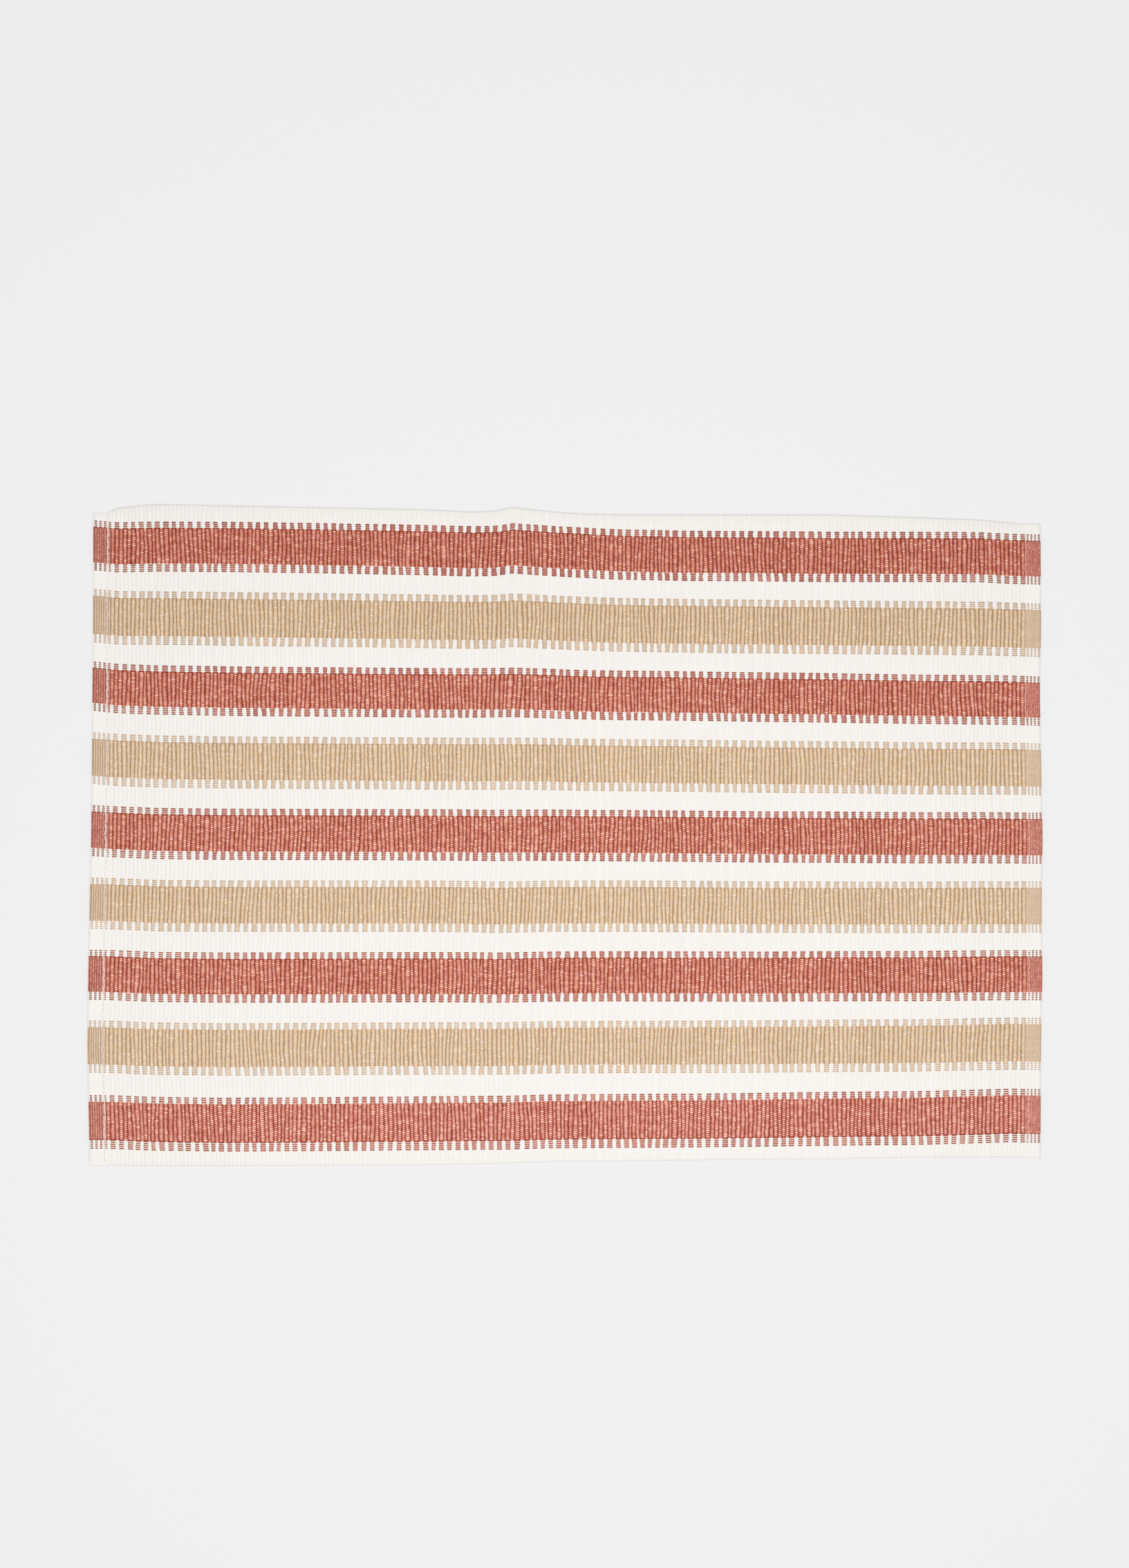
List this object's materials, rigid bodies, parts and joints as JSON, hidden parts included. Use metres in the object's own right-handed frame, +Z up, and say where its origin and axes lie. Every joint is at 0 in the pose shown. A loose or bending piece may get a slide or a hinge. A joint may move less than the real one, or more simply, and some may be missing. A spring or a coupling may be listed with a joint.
{
  "type": "ribbed fabric placemat",
  "caption": "Flat rectangular table mat of thick striped cotton, with cross ribs, plain woven long edges and turned, sewn hems at the short ends.",
  "frame": {"origin": "middle of the mat's outline, on the surface that it lies on", "axes": "+X along the stripes, +Y across them along the ribs, +Z up out of the face that is seen"},
  "size_m": [0.4814, 0.334, 0.0034],
  "materials": {
    "striped_cotton": "matt thick cotton weave: brick red and sand stripes with toothed edges, on off-white"
  },
  "bodies": {
    "root": {"placemat": "striped_cotton"}
  },
  "joints": []
}
